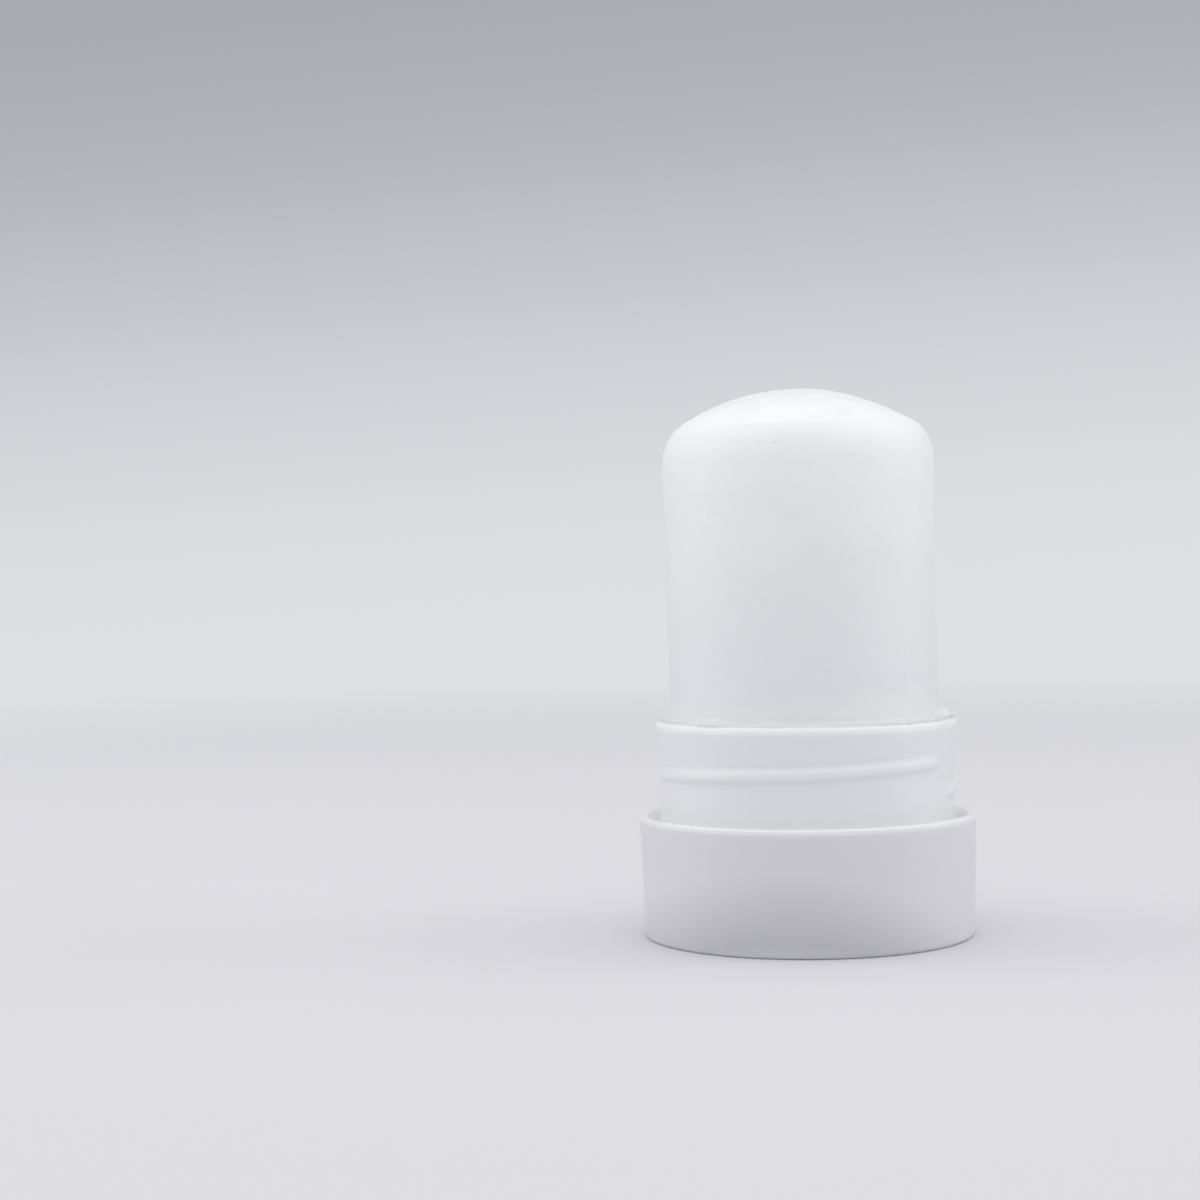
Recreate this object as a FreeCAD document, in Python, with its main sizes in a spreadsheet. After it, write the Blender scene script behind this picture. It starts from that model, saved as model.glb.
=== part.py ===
"""Deodorant stick: a cast mineral crystal standing in a one-piece moulded holder.

Millimetres, +Z up, origin on the table at the middle of the holder's foot.
Every outline is drawn as (radius, height) in the XZ plane and turns about Z. The thread's winds about it.
"""
import FreeCAD, Part
import math
import os

import Sketcher

# Driving dimensions: name and value in mm, the bearing and the lean in degrees
SIZES = (
    # Skirt: the outer ring that stands on the table
    ("skirt_draft", 0.4),  # how much narrower it is at the foot
    ("skirt_height", 13.45),
    ("skirt_wall", 0.9),
    ("rim_round", 0.3),
    ("foot_round", 0.45),  # outer edge of the foot
    # Cup: neck, lip and floor
    ("neck_radius", 16.2),  # outside
    ("neck_height", 10.4),  # from the skirt's rim up to the lip
    ("cup_wall", 0.9),
    ("lip_flare", 0.42),  # how far the lip stands outside the neck
    ("flare_height", 4.0),
    ("lip_round", 0.45),  # outer edge of the lip
    ("inner_round", 0.2),  # inner edges of lip and foot
    ("hollow_depth", 6.45),  # open space under the cup's floor
    ("floor_thickness", 1.2),
    ("floor_round", 0.6),
    # Thread for the cap: one turn of one ridge, right-handed
    ("thread_start", 2.7),  # middle of its lower end, above the skirt's rim
    ("thread_pitch", 3.4),
    ("thread_root", 1.5),  # ridge's width at the neck
    ("thread_crest", 0.8),  # and at its top
    ("thread_rise", 0.5),
    ("thread_bearing", -26.0),  # where both ends lie, anticlockwise from +X
    # Recess for the cap's wall, with the web that joins skirt and cup at its bottom
    ("recess_width", 1.46),  # from the neck to the skirt, at the skirt's rim
    ("recess_depth", 1.2),
    ("web_thickness", 1.2),
    ("neck_fillet", 1.0),
    # Crystal
    ("crystal_length", 52.5),
    ("crystal_clearance", 0.45),  # all round, between its waist and the cup's bore
    ("bottom_chamfer", 0.5),
    ("band_swell", 0.13),  # how much thicker it is below the shoulder
    ("band_length", 3.2),
    ("band_taper", 2.4),
    ("shoulder_width", 1.33),
    ("shoulder_height", 3.9),
    ("dome_radius", 23.7),
    ("near_gap", 0.25),  # left between crystal and bore on the side it leans to
    ("crystal_lean", 0.3),
)

# Levels and radii that several outlines share, as formulas on the sheet
RIM_BORE = "(Size.neck_radius + Size.recess_width)"
RIM_RADIUS = f"({RIM_BORE} + Size.skirt_wall)"
FOOT_RADIUS = f"({RIM_RADIUS} - Size.skirt_draft)"
FOOT_BORE = f"({FOOT_RADIUS} - Size.skirt_wall)"
BORE = "(Size.neck_radius - Size.cup_wall)"
LIP_RADIUS = "(Size.neck_radius + Size.lip_flare)"
LIP_BORE = f"({LIP_RADIUS} - Size.cup_wall)"
LIP_TOP = "(Size.skirt_height + Size.neck_height)"
FLARE_START = f"({LIP_TOP} - Size.flare_height)"
FLOOR_TOP = "(Size.hollow_depth + Size.floor_thickness)"
WEB_TOP = "(Size.skirt_height - Size.recess_depth)"
WEB_UNDERSIDE = f"({WEB_TOP} - Size.web_thickness)"
WAIST_RADIUS = f"({BORE} - Size.crystal_clearance)"
BAND_RADIUS = f"({WAIST_RADIUS} + Size.band_swell)"
CREASE_RADIUS = f"({BAND_RADIUS} - Size.shoulder_width)"
DOME_CENTRE = "(Size.crystal_length - Size.dome_radius)"
CREASE_HEIGHT = f"({DOME_CENTRE} + sqrt(Size.dome_radius ^ 2 - {CREASE_RADIUS} ^ 2))"
SHOULDER_START = f"({CREASE_HEIGHT} - Size.shoulder_height)"
BAND_START = f"({SHOULDER_START} - Size.band_length)"

# Rounds, none larger than its wall or its recess has room for
LIP_OUTER_ROUND = "min(Size.lip_round; Size.cup_wall / 2)"
LIP_INNER_ROUND = "min(Size.inner_round; Size.cup_wall / 4)"
RIM_ROUND = "min(Size.rim_round; Size.skirt_wall / 3)"
FOOT_OUTER_ROUND = "min(Size.foot_round; Size.skirt_wall / 2)"
FOOT_INNER_ROUND = "min(Size.inner_round; Size.skirt_wall / 4)"
NECK_FILLET = "min(Size.neck_fillet; Size.recess_width * 3 / 4)"
FLOOR_ROUND = "min(Size.floor_round; Size.floor_thickness / 2)"

NEAR = 1e-4  # how closely an edge has to match the ring that is looked for

doc = FreeCAD.newDocument("deodorant_stick")
sheet = doc.addObject("Spreadsheet::Sheet", "Size")


def fill_sheet():
    """Write each driving dimension into its own named cell."""
    for row, (name, value) in enumerate(SIZES, 1):
        sheet.set(f"A{row}", name)
        sheet.set(f"B{row}", str(value))
        sheet.setAlias(f"B{row}", name)
    doc.recompute()


def number(formula):
    """The present value of a formula on the sheet."""
    return float(sheet.evalExpression(formula))


def new_body(label):
    body = doc.addObject("PartDesign::Body", label)
    body.Label = label
    return body


def origin_plane(body, role):
    return next(item for item in body.Origin.OriginFeatures if item.Role == role)


def arc_between(start, end, radius):
    """An arc that turns anticlockwise from start to end, less than half a circle."""
    chord = end - start
    to_centre = FreeCAD.Vector(-chord.y, chord.x, 0).normalize()
    rise = math.sqrt(radius**2 - (chord.Length / 2) ** 2)
    centre = (start + end) / 2 + to_centre * rise
    first = math.atan2(start.y - centre.y, start.x - centre.x)
    last = math.atan2(end.y - centre.y, end.x - centre.x)
    circle = Part.Circle(centre, FreeCAD.Vector(0, 0, 1), radius)
    return Part.ArcOfCircle(circle, first, last)


def bind(sketch, constraint, formula):
    index = sketch.addConstraint(constraint)
    sketch.setExpression(f"Constraints[{index}]", formula)


def outline(body, name, corners):
    """A closed outline. A corner is (radius, height), or (radius, height, arc radius) before an arc.

    The corners run anticlockwise. Each is held by its radius and height, and "0" puts it on an axis.
    """
    sketch = body.newObject("Sketcher::SketchObject", name)
    sketch.AttachmentSupport = [(origin_plane(body, "XZ_Plane"), "")]
    sketch.MapMode = "FlatFace"
    points = [FreeCAD.Vector(number(corner[0]), number(corner[1]), 0) for corner in corners]
    count = len(corners)
    for index, corner in enumerate(corners):
        start, end = points[index], points[(index + 1) % count]
        if len(corner) == 3:
            sketch.addGeometry(arc_between(start, end, number(corner[2])))
        else:
            sketch.addGeometry(Part.LineSegment(start, end))
    for index, corner in enumerate(corners):
        sketch.addConstraint(Sketcher.Constraint("Coincident", (index - 1) % count, 2, index, 1))
        for kind, axis, formula in (("DistanceX", -2, corner[0]), ("DistanceY", -1, corner[1])):
            if formula == "0":
                sketch.addConstraint(Sketcher.Constraint("PointOnObject", index, 1, axis))
            else:
                bind(sketch, Sketcher.Constraint(kind, -1, 1, index, 1, number(formula)), formula)
        if len(corner) == 3:
            bind(sketch, Sketcher.Constraint("Radius", index, number(corner[2])), corner[2])
    return sketch


def turn(body, name, corners):
    """Turn a closed outline about Z and join it to what the body already has."""
    sketch = outline(body, f"{name}_outline", corners)
    feature = body.newObject("PartDesign::Revolution", name)
    feature.Profile = sketch
    feature.ReferenceAxis = (sketch, ["V_Axis"])
    feature.Angle = 360
    doc.recompute()


def wind(body, name, corners, pitch, bearing):
    """Wind a closed outline once about Z, rising by the pitch, and join it to what the body already has."""
    sketch = outline(body, f"{name}_outline", corners)
    sketch.AttachmentOffset = FreeCAD.Placement(
        FreeCAD.Vector(), FreeCAD.Rotation(FreeCAD.Vector(0, 1, 0), number(bearing))
    )
    sketch.setExpression("AttachmentOffset.Rotation.Angle", bearing)
    feature = body.newObject("PartDesign::AdditiveHelix", name)
    feature.Profile = sketch
    feature.ReferenceAxis = (sketch, ["V_Axis"])
    feature.Mode = "pitch-height-angle"
    feature.setExpression("Pitch", pitch)
    feature.setExpression("Height", pitch)
    doc.recompute()


def round_ring(body, name, radius, height, size):
    """Round the circular edge of the given radius at the given height."""
    base = body.Tip
    wanted = (number(radius), number(height))
    found = [
        f"Edge{index}"
        for index, edge in enumerate(base.Shape.Edges, 1)
        if isinstance(edge.Curve, Part.Circle)
        and math.dist((edge.Curve.Radius, edge.Curve.Center.z), wanted) < NEAR
    ]
    if not found:
        raise ValueError(f"{name}: no circular edge of radius {wanted[0]} at height {wanted[1]}")
    feature = body.newObject("PartDesign::Fillet", name)
    feature.Base = (base, found)
    feature.setExpression("Radius", size)
    doc.recompute()


def make_holder():
    """One moulding: cup with a flared lip and a thread, web, and the skirt around the hollow foot."""
    body = new_body("holder")
    turn(body, "cup", (
        ("0", "Size.hollow_depth"),
        ("Size.neck_radius", "Size.hollow_depth"),
        ("Size.neck_radius", FLARE_START),
        (LIP_RADIUS, LIP_TOP),
        (LIP_BORE, LIP_TOP),
        (BORE, FLARE_START),
        (BORE, FLOOR_TOP),
        ("0", FLOOR_TOP),
    ))
    mid_cup_wall = "Size.neck_radius - Size.cup_wall / 2"
    mid_skirt_wall = f"{RIM_RADIUS} - Size.skirt_draft / 2 - Size.skirt_wall / 2"
    turn(body, "web", (
        (mid_cup_wall, WEB_UNDERSIDE),
        (mid_skirt_wall, WEB_UNDERSIDE),
        (mid_skirt_wall, WEB_TOP),
        (mid_cup_wall, WEB_TOP),
    ))
    turn(body, "skirt", (
        (FOOT_BORE, "0"),
        (FOOT_RADIUS, "0"),
        (RIM_RADIUS, "Size.skirt_height"),
        (RIM_BORE, "Size.skirt_height"),
    ))
    thread_middle = "Size.skirt_height + Size.thread_start"
    thread_top = "Size.neck_radius + Size.thread_rise"
    wind(body, "thread", (
        (mid_cup_wall, f"{thread_middle} - Size.thread_root / 2"),
        ("Size.neck_radius", f"{thread_middle} - Size.thread_root / 2"),
        (thread_top, f"{thread_middle} - Size.thread_crest / 2"),
        (thread_top, f"{thread_middle} + Size.thread_crest / 2"),
        ("Size.neck_radius", f"{thread_middle} + Size.thread_root / 2"),
        (mid_cup_wall, f"{thread_middle} + Size.thread_root / 2"),
    ), "Size.thread_pitch", "Size.thread_bearing")
    round_ring(body, "neck_foot", "Size.neck_radius", WEB_TOP, NECK_FILLET)
    round_ring(body, "lip_outer", LIP_RADIUS, LIP_TOP, LIP_OUTER_ROUND)
    round_ring(body, "lip_inner", LIP_BORE, LIP_TOP, LIP_INNER_ROUND)
    round_ring(body, "rim_outer", RIM_RADIUS, "Size.skirt_height", RIM_ROUND)
    round_ring(body, "rim_inner", RIM_BORE, "Size.skirt_height", RIM_ROUND)
    round_ring(body, "foot_outer", FOOT_RADIUS, "0", FOOT_OUTER_ROUND)
    round_ring(body, "foot_inner", FOOT_BORE, "0", FOOT_INNER_ROUND)
    round_ring(body, "floor_edge", "Size.neck_radius", "Size.hollow_depth", FLOOR_ROUND)
    return body


def make_crystal():
    """The cast crystal, from its own bottom face up: waist, thicker band, shoulder, crease and dome."""
    body = new_body("alum_crystal")
    shoulder_arc = "(Size.shoulder_height ^ 2 + Size.shoulder_width ^ 2) / (2 * Size.shoulder_width)"
    turn(body, "crystal", (
        ("0", "0"),
        (f"{WAIST_RADIUS} - Size.bottom_chamfer", "0"),
        (WAIST_RADIUS, "Size.bottom_chamfer"),
        (WAIST_RADIUS, f"{BAND_START} - Size.band_taper"),
        (BAND_RADIUS, BAND_START),
        (BAND_RADIUS, SHOULDER_START, shoulder_arc),
        (CREASE_RADIUS, CREASE_HEIGHT, "Size.dome_radius"),
        ("0", "Size.crystal_length"),
    ))
    return body


def stand_in_cup(body):
    """Stand the crystal on the cup's floor, leaning towards -X about one edge of its bottom face.

    Its side comes nearest to the bore where the lip's flare starts, and leaves the near gap there.
    """
    body.Placement = FreeCAD.Placement(
        FreeCAD.Vector(),
        FreeCAD.Rotation(FreeCAD.Vector(0, -1, 0), number("Size.crystal_lean")),
    )
    places = {
        "Rotation.Angle": "Size.crystal_lean",
        "Base.x": "Size.near_gap - Size.crystal_clearance"
        f" + ({FLARE_START} - {FLOOR_TOP}) * tan(Size.crystal_lean)",
        "Base.z": f"{FLOOR_TOP} + ({WAIST_RADIUS} - Size.bottom_chamfer) * sin(Size.crystal_lean)",
    }
    for place, formula in places.items():
        body.setExpression(f"Placement.{place}", formula)
    doc.recompute()


def check_model(bodies):
    """Stop on any failed object, and on any body that isn't one valid solid."""
    for item in doc.Objects:
        if "Invalid" in item.State or "Error" in item.State:
            raise RuntimeError(f"{item.Label} failed: {item.State}")
    for body in bodies:
        if body.Shape.isNull() or not body.Shape.isValid() or len(body.Shape.Solids) != 1:
            raise RuntimeError(f"{body.Label} isn't one valid solid")


fill_sheet()
holder = make_holder()
crystal = make_crystal()
stand_in_cup(crystal)
check_model((holder, crystal))

os.makedirs("parts", exist_ok=True)
for body in (holder, crystal):
    body.Shape.exportStep(f"parts/{body.Label}.step")
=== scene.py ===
"""Looks of the deodorant stick: a cast crystal and its moulded holder on a pale studio sweep."""
import math
import random

import bpy
from mathutils import Matrix, Vector, noise


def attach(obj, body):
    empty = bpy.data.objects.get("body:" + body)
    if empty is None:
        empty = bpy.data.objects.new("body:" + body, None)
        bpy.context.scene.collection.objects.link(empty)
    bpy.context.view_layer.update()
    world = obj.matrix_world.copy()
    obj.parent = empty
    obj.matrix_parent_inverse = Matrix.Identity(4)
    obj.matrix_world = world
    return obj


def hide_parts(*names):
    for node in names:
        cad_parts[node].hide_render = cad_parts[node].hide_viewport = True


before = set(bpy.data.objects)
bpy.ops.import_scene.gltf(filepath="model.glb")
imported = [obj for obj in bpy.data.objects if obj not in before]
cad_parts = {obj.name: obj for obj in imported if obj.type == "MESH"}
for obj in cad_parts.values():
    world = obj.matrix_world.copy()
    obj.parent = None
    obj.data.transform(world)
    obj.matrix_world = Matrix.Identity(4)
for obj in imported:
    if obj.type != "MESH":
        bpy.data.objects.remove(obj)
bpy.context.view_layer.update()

MM = 0.001

# Holder, in mm: the same sizes as the CAD node it stands for
SKIRT_RADIUS, FOOT_RADIUS, SKIRT_TOP, SKIRT_WALL = 18.56, 18.16, 13.45, 0.9
NECK_RADIUS, LIP_RADIUS, LIP_TOP, CUP_WALL = 16.2, 16.62, 23.85, 0.9
FLARE_START, FLOOR_UNDER, FLOOR_TOP = 19.85, 6.45, 7.65
WEB_TOP, WEB_UNDER = 12.25, 11.05

# Rounds of its edges and corners. The foot's is larger than in the CAD node, and a few aren't there.
FLOOR_ROUND, WEB_ROUND, FOOT_ROUND, RIM_ROUND, RECESS_ROUND = 0.6, 0.25, 0.6, 0.3, 0.15
NECK_FILLET, FLARE_ROUND, LIP_ROUND, INNER_ROUND = 1.0, 3.0, 0.45, 0.2

# The thread's ridge winds once around the neck and dies away at both ends. Its flanks fall between two
# distances from its middle, and are softer than in the CAD node.
THREAD_START, THREAD_PITCH, THREAD_RISE, THREAD_FLANK = 16.15, 3.4, 0.4, (0.15, 0.95)
THREAD_BEARING, THREAD_FADE = math.radians(-26), math.radians(9)
NECK_SIDE = NECK_RADIUS - 0.01  # what is farther out than this, above the skirt, is the neck's outside

# The holder's walls wander towards the axis by up to twice this much, in waves this long. This begins at
# the foot and is full from this height up.
HOLDER_WAVE, HOLDER_WAVE_LENGTH, HOLDER_WAVE_FROM = 0.02, 9, 3

# Crystal, in mm from its own bottom face
CRYSTAL_LENGTH, WAIST_RADIUS, BAND_RADIUS = 52.5, 14.85, 14.98
BOTTOM_CHAMFER, BAND_START, BAND_TAPER, SHOULDER_START = 0.5, 41.07, 2.4, 44.27
CREASE_RADIUS, CREASE_HEIGHT, DOME_RADIUS = 13.65, 48.17, 23.7

# It stands on one edge of its bottom face and leans to the left, where this gap is left to the bore at
# the start of the flare
CRYSTAL_LEAN, NEAR_GAP = math.radians(0.3), 0.25
EVEN_GAP = NECK_RADIUS - CUP_WALL - WAIST_RADIUS
CRYSTAL_FOOT = Vector((
    NEAR_GAP - EVEN_GAP + (FLARE_START - FLOOR_TOP) * math.tan(CRYSTAL_LEAN),
    0,
    FLOOR_TOP + (WAIST_RADIUS - BOTTOM_CHAMFER) * math.sin(CRYSTAL_LEAN),
))

# Its surface lies this much deeper than the CAD node's, uneven in waves of (height, length). Both grow
# between two heights inside the holder. The crease is worn this deep, and this far to both sides.
SURFACE_SUNK, CRYSTAL_WAVES = 0.05, ((0.07, 13), (0.03, 4.1), (0.022, 1.3))
UNEVEN_RISE = (6, 16)
CREASE_WEAR, CREASE_REACH = 0.1, 1.8

# The dome sags at its right: how deep, where this begins and ends to the right of its middle, and where
# it begins in height. Each pair goes from no sag to all of it.
DOME_SAG, SAG_START, SAG_END, SAG_HEIGHTS = 0.25, (2, 10), (14, 11), (46, 49)
DOME_TILT = 0.6  # how much more upwards its surface moves, for each mm above the shoulder

# Mineral that set in the cup's mouth: how deep it fills the bore, over what further depth that begins,
# and how close it comes to the bore
COLLAR_DEPTH, COLLAR_RUN_IN, BORE_GAP = 1.5, 0.6, 0.05

# On the lip: how far out it lies and how high it climbs, each at least and at most, how hollow its slope
# is, how deep it is sunk in the lip, and the waves of (height, length) that make it ragged
COLLAR_RADIUS, COLLAR_CLIMB, COLLAR_HOLLOW, SPILL_SUNK = (15.85, 16.3), (0.3, 0.9), 1.6, 0.06
COLLAR_WAVES = ((0.9, 5), (0.5, 1.1))

# Crumbs of it that stand higher against the crystal: turn to the right of the front, width, height and
# radius. None is higher than CRUMB_TOP.
CRUMB_TOP = 1.2
CRUMBS = (
    (math.radians(84), 0.9, 1.15, 15.9),
    (math.radians(78), 0.7, 0.95, 15.6),
    (math.radians(89), 0.6, 0.95, 16.1),
    (math.radians(94), 0.8, 1.1, 15.7),
    (math.radians(62), 0.8, 0.6, 15.9),
)

# Small faults, as (turn to the right of the front, height, width, depth). On the crystal the height is
# above its own bottom face, and a negative depth stands out.
CRYSTAL_PITS = (
    (math.radians(-15.4), 45.6, 0.42, 0.16),
    (math.radians(-9.2), 45.7, 0.30, 0.21),
    (math.radians(1.1), 44.8, 0.75, 0.08),
    (math.radians(-28.4), 43.7, 0.90, 0.08),
    (math.radians(-56.4), 43.0, 0.36, 0.21),
    (math.radians(21.6), 44.2, 0.36, 0.13),
    (math.radians(-39.5), 38.4, 0.36, 0.18),
    (math.radians(-3.4), 38.3, 0.36, 0.16),
    (math.radians(33.3), 37.1, 0.30, 0.19),
    (math.radians(49.8), 34.7, 0.42, -0.08),
    (math.radians(6.4), 27.3, 0.36, 0.11),
    (math.radians(-66.0), 24.6, 0.90, 0.10),
    (math.radians(10.0), 21.5, 0.60, 0.10),
    (math.radians(13.4), 18.3, 0.36, -0.13),
    (math.radians(-19.3), 18.2, 0.60, 0.08),
    (math.radians(49.0), 48.6, 0.55, -0.22),
    (math.radians(-86.0), 43.3, 1.10, -0.12),
    (math.radians(-80.0), 39.0, 0.50, 0.10),
)
LIP_CHIPS = (
    (math.radians(42), 23.85, 0.75, 0.28),
    (math.radians(46), 23.95, 0.40, -0.12),
    (math.radians(29), 23.95, 0.45, 0.08),
)

# Pinholes all round the crystal: how many, the lowest, and their least and largest width and depth
PINHOLES, PINHOLES_FROM, PINHOLE_WIDTH, PINHOLE_DEPTH = 60, 17, (0.28, 0.5), (0.03, 0.09)

# Spacing of the rows of points up the two pieces: wide where nothing small shows, close at the cup's mouth
HIDDEN_STEP, CRYSTAL_STEP, CRUMB_STEP, MOUTH_STEP = 1.6, 0.24, 0.1, 0.05
HIDDEN_TOP, MOUTH_BELOW, MOUTH_ABOVE = 15.0, 0.2, 0.1
HOLDER_STEP, THREAD_STEP, THREAD_MARGIN, ROUND_STEP = 1.2, 0.1, 1.5, math.radians(13)

# Points around them. While there are more than a few, they are halved where they would lie less than
# half as far apart as at this radius.
CRYSTAL_AROUND, HOLDER_AROUND, FEW_AROUND, FULL_RADIUS = 416, 384, 12, 14
ON_AXIS = 1e-6  # a radius below this is a pole

# Spacing of the studio sheet's rows, in metres
SHEET_STEP, BEND_STEP = 0.1, 0.03

# Painted shade on the skirt, standing in for the dark hollow foot seen through its wall: darkest at the
# first level and pale from the second on, in mm. Both lie lower towards +X, and towards both sides with the
# square of X.
HOLLOW_SHADE_LEVELS, HOLLOW_SHADE_SLOPE, HOLLOW_SHADE_CURVE = (1.7, 8.9), 0.1, 0.02

# The skirt's painted shade comes in between the first two radii. The recess behind its rim is painted pale,
# painted light in place of its shade, between the middle two of the next four.
SKIRT_SHADE_FROM, RECESS_PAINTED_LIGHT = (17.7, 18.2), (16.75, 16.95, 17.75, 17.9)

# Painted highlights: the upper edges of the rim and of the lip are painted paler from these heights up.
# They come in over GLOW_IN, and above the rim they end over GLOW_OUT. Their strength is RIM_GLOW on the rim
# and 1 on the lip.
RIM_GLOW_FROM, LIP_GLOW_FROM, GLOW_IN, GLOW_OUT, RIM_GLOW = 12.7, 22.95, 0.25, 0.15, 0.4

# How far light is scattered under a surface, the same for its three colours
EVEN = (1.0, 1.0, 1.0)


def clamped(share):
    return min(max(share, 0), 1)


def between(pair, share):
    """The first of the pair at a share of 0, the second at 1."""
    return pair[0] + (pair[1] - pair[0]) * clamped(share)


def smooth_step(low, high, value):
    """0 at low, 1 at high, and smooth between them. low may be the larger of the two."""
    share = clamped((value - low) / (high - low))
    return share * share * (3 - 2 * share)


def uneven(p, waves, middle=0):
    """middle, changed by smooth noise in each of the waves, which are pairs of height and length."""
    return sum((height * noise.noise(p / length) for height, length in waves), middle)


def toward(turn):
    """Direction at a turn to the right of the front, seen from above anticlockwise."""
    return Vector((math.sin(turn), -math.cos(turn), 0))


def arc(start, end, radius, step):
    """Points after start up to end, on an anticlockwise arc of less than half a turn."""
    start, end = Vector(start), Vector(end)
    chord = end - start
    to_centre = Vector((-chord.y, chord.x)).normalized()
    centre = (start + end) / 2 + to_centre * math.sqrt(radius**2 - (chord.length / 2) ** 2)
    first = math.atan2(start.y - centre.y, start.x - centre.x)
    turn = 2 * math.asin(chord.length / 2 / radius)
    count = max(2, round(radius * turn / step))
    angles = [first + turn * (i + 1) / count for i in range(count)]
    return [(centre.x + radius * math.cos(a), centre.y + radius * math.sin(a)) for a in angles]


def line(start, end, step):
    """Points after start up to end on a straight run."""
    start, end = Vector(start), Vector(end)
    count = max(1, round((end - start).length / step))
    return [tuple(start.lerp(end, (i + 1) / count)) for i in range(count)]


def rounded(first, corners, last):
    """A path from first to last, through corners of (radius, height, round). Rounds are short chords."""
    path = [first]
    for before, corner, after in zip([first] + corners, corners, corners[1:] + [last]):
        here = Vector(corner[:2])
        back, ahead = (Vector(before[:2]) - here).normalized(), (Vector(after[:2]) - here).normalized()
        half = back.angle(ahead) / 2
        begin = here + back * (corner[2] / math.tan(half))
        path += line(path[-1], begin, HOLDER_STEP)
        centre = here + (back + ahead).normalized() * (corner[2] / math.sin(half))
        spoke = begin - centre
        sweep = math.pi - 2 * half
        side = 1 if back.cross(ahead) < 0 else -1
        count = max(3, round(sweep / ROUND_STEP))
        for i in range(count):
            turn = Matrix.Rotation(side * sweep * (i + 1) / count, 2)
            path.append(tuple(centre + turn @ spoke))
    return path + line(path[-1], last, HOLDER_STEP)


def new_piece(name, points, faces):
    mesh = bpy.data.meshes.new(name)
    mesh.from_pydata(points, [], faces)
    mesh.validate()
    mesh.shade_smooth()
    piece = bpy.data.objects.new(name, mesh)
    bpy.context.scene.collection.objects.link(piece)
    return piece


def faces_between(low, high):
    """Faces from a ring of points to the next. One may be a pole, or have several times the points."""
    wide, narrow = (low, high) if len(low) >= len(high) else (high, low)
    if len(narrow) == 1:
        faces = [(narrow[0], wide[i], wide[(i + 1) % len(wide)]) for i in range(len(wide))]
    else:
        ratio = len(wide) // len(narrow)
        faces = []
        for i in range(len(narrow)):
            near = tuple(wide[(ratio * i + k) % len(wide)] for k in range(ratio + 1))
            faces.append(near + (narrow[(i + 1) % len(narrow)], narrow[i]))
    return faces if wide is low else [face[::-1] for face in faces]


def turned(name, profile, count, shape):
    """Turn a profile from pole to pole into one closed mesh. shape moves each point, in mm."""
    rings, points = [], []
    for radius, height in profile:
        size = count
        while size > FEW_AROUND and radius / size < FULL_RADIUS / count / 2:
            size //= 2
        if radius < ON_AXIS:
            size = 1
        rings.append(list(range(len(points), len(points) + size)))
        for i in range(size):
            angle = 2 * math.pi * i / size
            points.append(shape(Vector((radius * math.cos(angle), radius * math.sin(angle), height))))
    faces = []
    for low, high in zip(rings, rings[1:]):
        faces += faces_between(low, high)
    return new_piece(name, [p * MM for p in points], faces)


def crystal_profile():
    """From the bottom face's middle up the waist and the band, over shoulder and crease, to the top."""
    mouth = LIP_TOP - CRYSTAL_FOOT.z
    path = [(0, 0)]
    for radius, height, step in (
        (WAIST_RADIUS - BOTTOM_CHAMFER, 0, HIDDEN_STEP),
        (WAIST_RADIUS, BOTTOM_CHAMFER, HIDDEN_STEP),
        (WAIST_RADIUS, HIDDEN_TOP, HIDDEN_STEP),
        (WAIST_RADIUS, mouth - MOUTH_BELOW, CRYSTAL_STEP),
        (WAIST_RADIUS, mouth + MOUTH_ABOVE, MOUTH_STEP),
        (WAIST_RADIUS, mouth + MOUTH_ABOVE + CRUMB_TOP, CRUMB_STEP),
        (WAIST_RADIUS, BAND_START - BAND_TAPER, CRYSTAL_STEP),
        (BAND_RADIUS, BAND_START, CRYSTAL_STEP),
        (BAND_RADIUS, SHOULDER_START, CRYSTAL_STEP),
    ):
        path += line(path[-1], (radius, height), step)
    rise, width = CREASE_HEIGHT - SHOULDER_START, BAND_RADIUS - CREASE_RADIUS
    shoulder_radius = (rise**2 + width**2) / (2 * width)
    path += arc(path[-1], (CREASE_RADIUS, CREASE_HEIGHT), shoulder_radius, CRYSTAL_STEP)
    path += arc(path[-1], (0, CRYSTAL_LENGTH), DOME_RADIUS, CRYSTAL_STEP)
    path[-1] = (0, path[-1][1])
    return path


def place_marks(marks, radius):
    """Each mark as (place, width, depth), on a cylinder of the given radius."""
    return [
        (toward(turn) * radius + Vector((0, 0, height)), width, depth)
        for turn, height, width, depth in marks
    ]


def dent(p, marks, radius):
    """How far the marks push the surface in at a point, which is brought onto their cylinder first."""
    near = [mark for mark in marks if abs(mark[0].z - p.z) < mark[1]]
    if not near:
        return 0
    on_cylinder = Vector((p.x, p.y, 0)).normalized() * radius
    on_cylinder.z = p.z
    return sum(depth * smooth_step(width, 0, (on_cylinder - place).length) for place, width, depth in near)


def scattered_pits():
    """Small pinholes of the casting, all round the crystal."""
    chance = random.Random(7)
    marks = [
        (
            math.tau * chance.random(),
            chance.uniform(PINHOLES_FROM, SHOULDER_START),
            chance.uniform(*PINHOLE_WIDTH),
            chance.uniform(*PINHOLE_DEPTH),
        )
        for _ in range(PINHOLES)
    ]
    return place_marks(marks, WAIST_RADIUS)


def lopsided(p):
    """How much lower the dome is than its sphere, to the right of its top."""
    across = smooth_step(*SAG_START, p.x) * smooth_step(*SAG_END, p.x)
    return DOME_SAG * across * smooth_step(*SAG_HEIGHTS, p.z)


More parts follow.
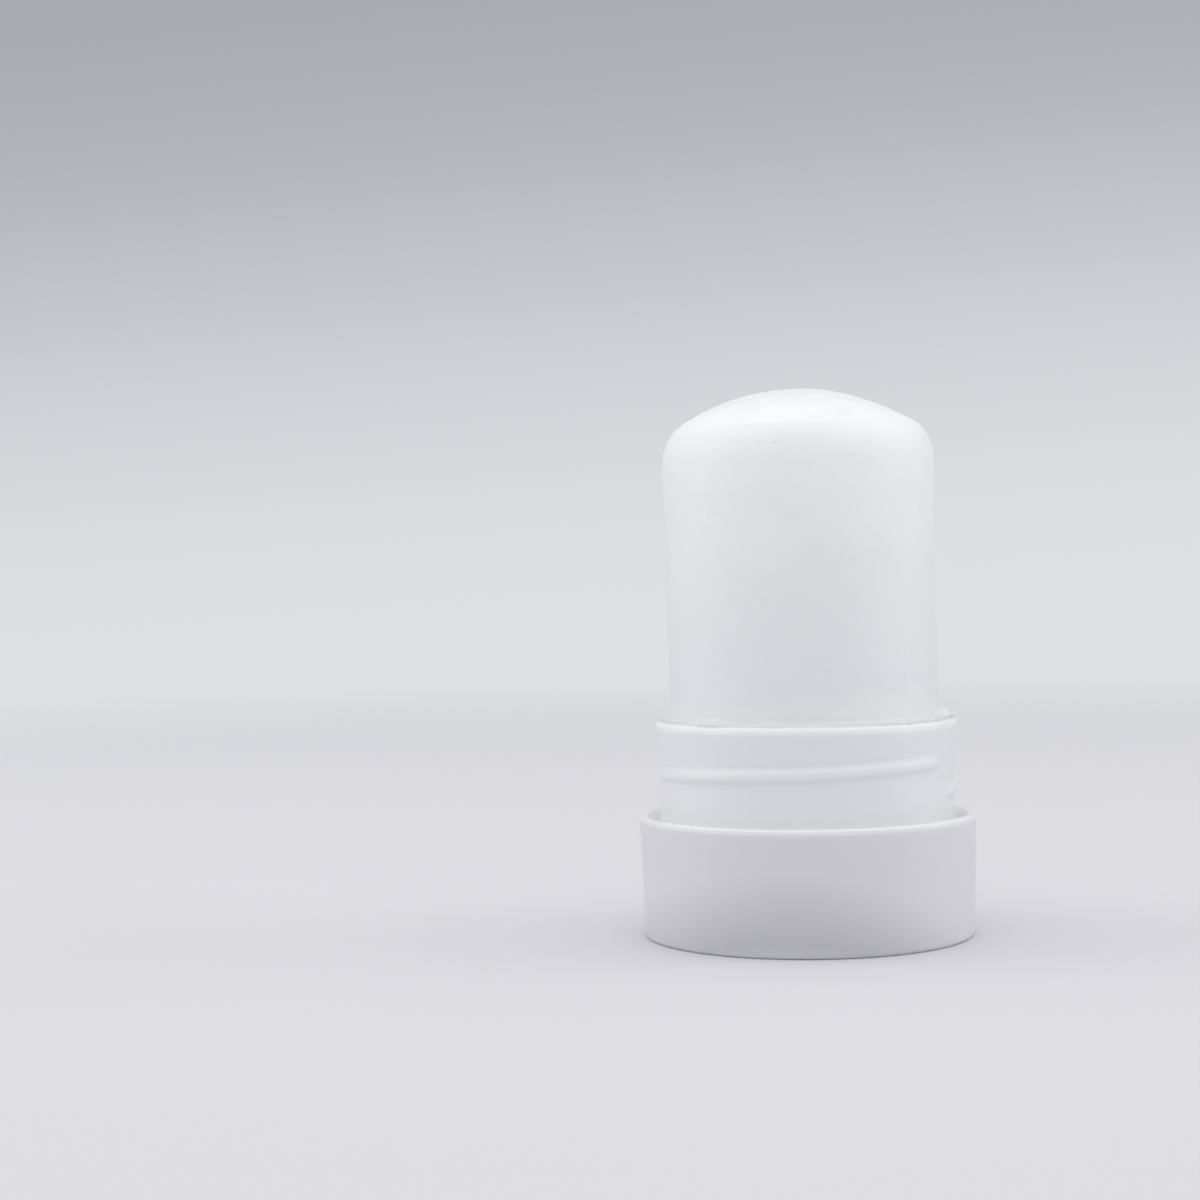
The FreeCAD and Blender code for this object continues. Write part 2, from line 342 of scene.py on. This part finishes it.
def relief(p, pits):
    """How far the crystal's surface stands out from its plain form at a point."""
    from_crease = math.hypot(math.hypot(p.x, p.y) - CREASE_RADIUS, p.z - CREASE_HEIGHT)
    worn = CREASE_WEAR * smooth_step(CREASE_REACH, 0, from_crease)
    sunk = SURFACE_SUNK + dent(p, pits, WAIST_RADIUS) + worn + lopsided(p)
    return (uneven(p, CRYSTAL_WAVES) - sunk) * smooth_step(*UNEVEN_RISE, p.z)


def radius_in_the_bore(z, radius):
    """Radius of the mineral below the lip's top, where it fills the gap around the crystal's own radius."""
    flare = (LIP_RADIUS - NECK_RADIUS) * clamped((z - FLARE_START) / (LIP_TOP - FLARE_START))
    bore = NECK_RADIUS - CUP_WALL + flare - BORE_GAP
    return radius + (bore - radius) * smooth_step(COLLAR_DEPTH + COLLAR_RUN_IN, COLLAR_DEPTH, LIP_TOP - z)


def radius_on_the_lip(rim_place, above, radius):
    """Radius of the mineral at a height above the lip, where the crystal's own radius is given."""
    ragged = uneven(rim_place, COLLAR_WAVES, 0.5)
    fall = 1 - clamped(above / between(COLLAR_CLIMB, ragged))
    spill = radius + (between(COLLAR_RADIUS, ragged) - radius) * fall**COLLAR_HOLLOW
    for turn, width, height, reach in CRUMBS:
        top = height * smooth_step(width, 0, (rim_place - toward(turn) * LIP_RADIUS).length)
        if above < top:
            spill = max(spill, radius + (reach - radius) * math.sqrt(1 - (above / top) ** 2))
    return spill


def collar_radius(p, radius):
    """Radius of the mineral at a place near the cup's mouth, where the crystal's own radius is given."""
    above = p.z - LIP_TOP
    if above > CRUMB_TOP or above < -COLLAR_DEPTH - COLLAR_RUN_IN:
        return radius
    if above < -SPILL_SUNK:
        return radius_in_the_bore(p.z, radius)
    rim_place = Vector((p.x, p.y, 0)).normalized() * LIP_RADIUS
    return radius_on_the_lip(rim_place, max(above, 0), radius)


def make_crystal():
    lean = Matrix.Rotation(-CRYSTAL_LEAN, 3, "Y")
    pits = place_marks(CRYSTAL_PITS, WAIST_RADIUS) + scattered_pits()

    def shape(p):
        out = Vector((p.x, p.y, DOME_TILT * max(p.z - SHOULDER_START, 0)))
        out = out.normalized() if out.length else Vector((0, 0, 1))
        q = lean @ (p + out * relief(p, pits)) + CRYSTAL_FOOT
        radius = math.hypot(q.x, q.y)
        return q + Vector((q.x, q.y, 0)) * (collar_radius(q, radius) / radius - 1) if radius else q

    return turned("cast_crystal", crystal_profile(), CRYSTAL_AROUND, shape)


def holder_profile():
    """From under the floor's middle to the skirt, over its rim, up the neck, and down inside the lip."""
    foot_bore, rim_bore = FOOT_RADIUS - SKIRT_WALL, SKIRT_RADIUS - SKIRT_WALL
    slope = (SKIRT_RADIUS - FOOT_RADIUS) / SKIRT_TOP
    path = rounded((0, FLOOR_UNDER), [
        (NECK_RADIUS, FLOOR_UNDER, FLOOR_ROUND),
        (NECK_RADIUS, WEB_UNDER, WEB_ROUND),
        (foot_bore + slope * WEB_UNDER, WEB_UNDER, WEB_ROUND),
        (foot_bore, 0, INNER_ROUND),
        (FOOT_RADIUS, 0, FOOT_ROUND),
        (SKIRT_RADIUS, SKIRT_TOP, RIM_ROUND),
        (rim_bore, SKIRT_TOP, RIM_ROUND),
        (rim_bore - slope * (SKIRT_TOP - WEB_TOP), WEB_TOP, RECESS_ROUND),
        (NECK_RADIUS, WEB_TOP, NECK_FILLET),
        (NECK_RADIUS, FLARE_START, FLARE_ROUND),
        (LIP_RADIUS, LIP_TOP, LIP_ROUND),
        (LIP_RADIUS - CUP_WALL, LIP_TOP, INNER_ROUND),
        (NECK_RADIUS - CUP_WALL, FLARE_START, FLARE_ROUND),
        (NECK_RADIUS - CUP_WALL, FLOOR_TOP, INNER_ROUND),
    ], (0, FLOOR_TOP))
    return with_close_rows(path)


def with_close_rows(path):
    """The same path, with short steps along the outside of the neck, where the thread stands out."""
    low, high = THREAD_START - THREAD_MARGIN, THREAD_START + THREAD_PITCH + THREAD_MARGIN
    close = path[:1]
    for point in path[1:]:
        outside = min(point[0], close[-1][0]) > NECK_SIDE
        beside = outside and point[1] > low and close[-1][1] < high
        close += line(close[-1], point, THREAD_STEP) if beside else [point]
    return close


def ridge_height(p):
    """How far the thread stands out at a point on the outside of the neck."""
    wound = (math.atan2(p.y, p.x) - THREAD_BEARING) % (2 * math.pi)
    middle = THREAD_START + THREAD_PITCH * wound / (2 * math.pi)
    flank = smooth_step(THREAD_FLANK[1], THREAD_FLANK[0], abs(p.z - middle))
    return THREAD_RISE * flank * smooth_step(0, THREAD_FADE, min(wound, 2 * math.pi - wound))


def make_holder():
    chips = place_marks(LIP_CHIPS, LIP_RADIUS)

    def shape(p):
        out = Vector((p.x, p.y, 0))
        radius = out.length
        if radius < 1:
            return p
        grown = smooth_step(0, HOLDER_WAVE_FROM, p.z)
        move = HOLDER_WAVE * (noise.noise(p / HOLDER_WAVE_LENGTH) - 1) * grown
        if radius > NECK_SIDE and p.z > SKIRT_TOP:
            move += ridge_height(p) - dent(p, chips, LIP_RADIUS)
        return p + out * (move / radius)

    return turned("moulded_holder", holder_profile(), HOLDER_AROUND, shape)


def plug(tree, node, inputs):
    """Give each of the node's inputs that is listed its value, or a link from another node's output."""
    for key, value in inputs.items():
        if isinstance(value, bpy.types.NodeSocket):
            tree.links.new(value, node.inputs[key])
        else:
            node.inputs[key].default_value = value


def new_node(tree, kind, inputs, **settings):
    node = tree.nodes.new("ShaderNode" + kind)
    for name, value in settings.items():
        setattr(node, name, value)
    plug(tree, node, inputs)
    return node


def new_material(name):
    """A new material, its node tree, and its surface's node."""
    material = bpy.data.materials.new(name)
    material.use_nodes = True
    return material, material.node_tree, material.node_tree.nodes["Principled BSDF"]


def object_place(tree):
    """Where a point lies in its object, in metres, and the three parts of that."""
    place = new_node(tree, "TexCoord", {}).outputs["Object"]
    return place, new_node(tree, "SeparateXYZ", {"Vector": place}).outputs


def calculate(tree, operation, *terms):
    return new_node(tree, "Math", dict(enumerate(terms)), operation=operation).outputs["Value"]


def distance(tree, place):
    return new_node(tree, "VectorMath", {0: place}, operation="LENGTH").outputs["Value"]


def clouds_of(tree, place, scale, detail, roughness=0.5):
    """Smooth noise around 0.5, with scale cells to a metre."""
    inputs = {"Vector": place, "Scale": scale, "Detail": detail, "Roughness": roughness}
    return new_node(tree, "TexNoise", inputs).outputs["Fac"]


def remap(tree, value, low, high, to_low=0, to_high=1, kind="LINEAR"):
    """to_low where the value is low or less, to_high where it is high or more."""
    inputs = {"Value": value, "From Min": low, "From Max": high, "To Min": to_low, "To Max": to_high}
    return new_node(tree, "MapRange", inputs, interpolation_type=kind).outputs["Result"]


def tones(tree, share, *stops):
    """Blend colours along a share of 0 to 1. Each stop is (share, colour)."""
    node = new_node(tree, "ValToRGB", {"Fac": share})
    ramp = node.color_ramp
    while len(ramp.elements) < len(stops):
        ramp.elements.new(1)
    for element, (position, colour) in zip(ramp.elements, stops):
        element.position = position
        element.color = (*colour, 1)
    return node.outputs["Color"]


def strength_along(tree, value, top, *stops):
    """A strength that changes along a value in metres. Each stop is (value in mm, up to top, strength)."""
    share = remap(tree, value, 0, top * MM)
    return tones(tree, share, *((stop / top, (strength,) * 3) for stop, strength in stops))


def blend(tree, share, first, second):
    """The first colour where the share is 0, the second where it is 1."""
    inputs = {"Factor": share, "A": first, "B": second}
    return new_node(tree, "Mix", inputs, data_type="RGBA").outputs["Result"]


def patchy(tree, clouds, least, most):
    """A value that wanders from least to most with the clouds, which lie around 0.3 to 0.7."""
    return remap(tree, clouds, 0.3, 0.7, least, most)


def bumps(tree, height, strength, depth):
    inputs = {"Height": height, "Strength": strength, "Distance": depth}
    return new_node(tree, "Bump", inputs).outputs["Normal"]


def mineral():
    """Satin, milky, translucent: light sinks deep into it and comes out elsewhere."""
    material, tree, surface = new_material("cast_mineral")
    place, parts = object_place(tree)
    bottom, top, drift = 26 * MM, 66 * MM, 8 * MM
    clouds = clouds_of(tree, place, scale=140, detail=3)
    grain = clouds_of(tree, place, scale=1800, detail=4, roughness=0.6)
    height = calculate(tree, "MULTIPLY_ADD", clouds, drift, parts["Z"])
    # Painted light and shade: the crystal is painted palest below its dome, less pale on the dome and
    # darker towards its foot, by height, with the bounds wandering with the clouds.
    colour_with_painted_light = tones(
        tree, remap(tree, height, bottom, top),
        (0.06, (0.86, 0.88, 0.885)),
        (0.12, (0.82, 0.84, 0.85)),
        (0.47, (0.865, 0.88, 0.89)),
        (0.78, (0.965, 0.975, 0.98)),
        (0.85, (0.965, 0.975, 0.98)),
        (0.93, (0.86, 0.87, 0.885)),
    )
    plug(tree, surface, {
        "Base Color": colour_with_painted_light,
        "Roughness": patchy(tree, clouds, 0.42, 0.58),
        "IOR": 1.46,
        "Normal": bumps(tree, grain, strength=0.25, depth=0.05 * MM),
        "Subsurface Weight": 0.4,
        "Subsurface Radius": EVEN,
        "Subsurface Scale": 3 * MM,
    })
    return material


def skirt_painted_shade(tree, x, z):
    """Painted shade, darker where the hollow foot is behind the skirt, and painted light, paler where the
    crystal is.
    """
    darkest, pale = HOLLOW_SHADE_LEVELS
    level = calculate(tree, "MULTIPLY_ADD", x, HOLLOW_SHADE_SLOPE, z)
    level = calculate(tree, "MULTIPLY_ADD", calculate(tree, "MULTIPLY", x, x), HOLLOW_SHADE_CURVE / MM, level)
    return tones(
        tree, remap(tree, level, 0, pale * MM),
        (0, (0.66, 0.66, 0.685)),
        (darkest / pale, (0.595, 0.595, 0.62)),
        (1, (0.75, 0.75, 0.77)),
    )


def painted_edge_light(tree, z):
    """How strong the painted highlight is at a height, in the upper edges of the rim and of the lip."""
    return strength_along(
        tree, z, LIP_TOP,
        (RIM_GLOW_FROM, 0),
        (RIM_GLOW_FROM + GLOW_IN, RIM_GLOW),
        (SKIRT_TOP, RIM_GLOW),
        (SKIRT_TOP + GLOW_OUT, 0),
        (LIP_GLOW_FROM, 0),
        (LIP_GLOW_FROM + GLOW_IN, 1),
    )


def milky_plastic():
    """Unpigmented moulded plastic, satin and milky: light sinks into its skin only."""
    material, tree, surface = new_material("milky_plastic")
    place, parts = object_place(tree)
    flat = new_node(tree, "VectorMath", {0: place, 1: (1, 1, 0)}, operation="MULTIPLY").outputs["Vector"]
    radius = distance(tree, flat)
    clouds = clouds_of(tree, place, scale=120, detail=2)
    grain = clouds_of(tree, place, scale=900, detail=3)
    # Painted shade on the skirt, standing in for the dark hollow foot seen through its wall, blended in by
    # radius.
    in_the_skirt_shade = remap(tree, radius, SKIRT_SHADE_FROM[0] * MM, SKIRT_SHADE_FROM[1] * MM)
    in_the_recess_light = strength_along(tree, radius, SKIRT_RADIUS, *zip(RECESS_PAINTED_LIGHT, (0, 1, 1, 0)))
    colour_with_painted_light = blend(tree, in_the_skirt_shade, (0.83, 0.85, 0.86, 1), skirt_painted_shade(tree, parts["X"], parts["Z"]))
    # Painted light: the recess behind the rim is painted pale in place of its shade.
    colour_with_painted_light = blend(tree, in_the_recess_light, colour_with_painted_light, (0.97, 0.975, 0.98, 1))
    # Painted highlights: the upper edges of the rim and of the lip are painted paler.
    colour_with_painted_light = blend(tree, painted_edge_light(tree, parts["Z"]), colour_with_painted_light, (0.95, 0.96, 0.965, 1))
    plug(tree, surface, {
        "Base Color": colour_with_painted_light,
        "Roughness": patchy(tree, clouds, 0.32, 0.44),
        "IOR": 1.49,
        "Normal": bumps(tree, grain, strength=0.15, depth=0.03 * MM),
        "Subsurface Weight": 1.0,
        "Subsurface Radius": EVEN,
        "Subsurface Scale": 0.5 * MM,
    })
    return material


def make_stage():
    """A seamless sheet: floor, a wide bend, and a backdrop painted with light that darkens upwards. Sizes
    are in metres.
    """
    bend, back, top, front, half = 0.5, 0.9, 1.4, -1.2, 1.8
    path = [(front, 0)] + line((front, 0), (back, 0), SHEET_STEP)
    path += arc((back, 0), (back + bend, bend), bend, BEND_STEP)
    path += line(path[-1], (back + bend, top), SHEET_STEP)
    points = [(side * half, y, z) for y, z in path for side in (-1, 1)]
    faces = [(2 * i, 2 * i + 1, 2 * i + 3, 2 * i + 2) for i in range(len(path) - 1)]
    sheet = new_piece("studio_sheet", points, faces)
    sheet.data.materials.append(studio_paper())


def studio_paper():
    """Pale paper. Looked at directly, away from the object, it glows with the gradient that is written
    here, painted light that darkens upwards.
    """
    near, far, top, lean = 0.15, 0.6, 0.5, -0.06
    material, tree, surface = new_material("studio_paper")
    white = (0.73, 0.725, 0.755, 1)
    plug(tree, surface, {"Base Color": white, "Roughness": 0.8, "Specular IOR Level": 0.1})
    place, parts = object_place(tree)
    height = calculate(tree, "MULTIPLY_ADD", parts["X"], lean, parts["Z"])
    high_up = remap(tree, height, 0, top, kind="SMOOTHSTEP")
    # Painted light: seen directly, the sheet glows, darker higher up.
    painted_backdrop_light = tones(tree, high_up, (0, (0.725, 0.745, 0.77)), (1, (0.40, 0.405, 0.45)))
    glow = new_node(tree, "Emission", {"Color": painted_backdrop_light}).outputs["Emission"]
    ray = new_node(tree, "LightPath", {}).outputs
    looked_at = ray["Is Camera Ray"]
    for kind in ("Is Glossy Ray", "Is Transmission Ray"):
        looked_at = calculate(tree, "MAXIMUM", looked_at, ray[kind])
    far_off = remap(tree, distance(tree, place), near, far, kind="SMOOTHSTEP")
    share = calculate(tree, "MULTIPLY", looked_at, far_off)
    both = new_node(tree, "MixShader", {0: share, 1: surface.outputs["BSDF"], 2: glow}).outputs["Shader"]
    plug(tree, tree.nodes["Material Output"], {"Surface": both})
    return material


def add_area(name, place, aim, size, watts):
    light = bpy.data.lights.new(name, "AREA")
    light.shape = "RECTANGLE"
    light.size, light.size_y = size
    light.energy = watts
    lamp = bpy.data.objects.new(name, light)
    lamp.location = place
    lamp.rotation_euler = (Vector(aim) - Vector(place)).to_track_quat("-Z", "Y").to_euler()
    bpy.context.scene.collection.objects.link(lamp)


def light_studio():
    """Soft light from above, from the front and from both sides, and bright air. Places are in metres."""
    middle = (0, 0, 0.03)
    add_area("top_softbox", (0, 0.05, 0.55), (0, 0.05, 0), (0.9, 0.9), 1.78)
    add_area("front_softbox", (0, -0.75, 0.22), middle, (0.6, 0.3), 0.44)
    for name, side in (("left_softbox", -1), ("right_softbox", 1)):
        add_area(name, (0.6 * side, 0.05, 0.25), middle, (0.4, 0.5), 0.66)
    world = bpy.data.worlds.new("studio_air")
    world.use_nodes = True
    background = world.node_tree.nodes["Background"]
    plug(world.node_tree, background, {"Color": (0.97, 0.98, 1, 1), "Strength": 0.61})
    bpy.context.scene.world = world


def swung(first, second, angle):
    """Two crossed directions, turned in their plane from the first towards the second."""
    cosine, sine = math.cos(angle), math.sin(angle)
    return first * cosine + second * sine, second * cosine - first * sine


def aim_camera():
    """The camera that the photograph's perspective gives: angles in radians, place and lens in mm."""
    yaw, pitch, roll = 0.08788, 0.0130, -0.01876
    back, height, lens, sensor = 256.17, 40.61, 69.22, 36
    right, ahead = swung(Vector((1, 0, 0)), Vector((0, 1, 0)), yaw)
    ahead, up = swung(ahead, Vector((0, 0, 1)), -pitch)
    right, up = swung(right, up, roll)
    data = bpy.data.cameras.new("camera")
    data.sensor_width = sensor
    data.lens = lens
    data.clip_start = 10 * MM
    camera = bpy.data.objects.new("camera", data)
    turn = Matrix((right, up, -ahead)).transposed().to_4x4()
    camera.matrix_world = Matrix.Translation((0, -back * MM, height * MM)) @ turn
    bpy.context.scene.collection.objects.link(camera)
    bpy.context.scene.camera = camera


crystal = make_crystal()
crystal.data.materials.append(mineral())
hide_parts("alum_crystal")
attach(crystal, "root")

holder = make_holder()
holder.data.materials.append(milky_plastic())
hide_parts("holder")
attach(holder, "root")

make_stage()
light_studio()
aim_camera()
bpy.context.scene.view_settings.view_transform = "Standard"
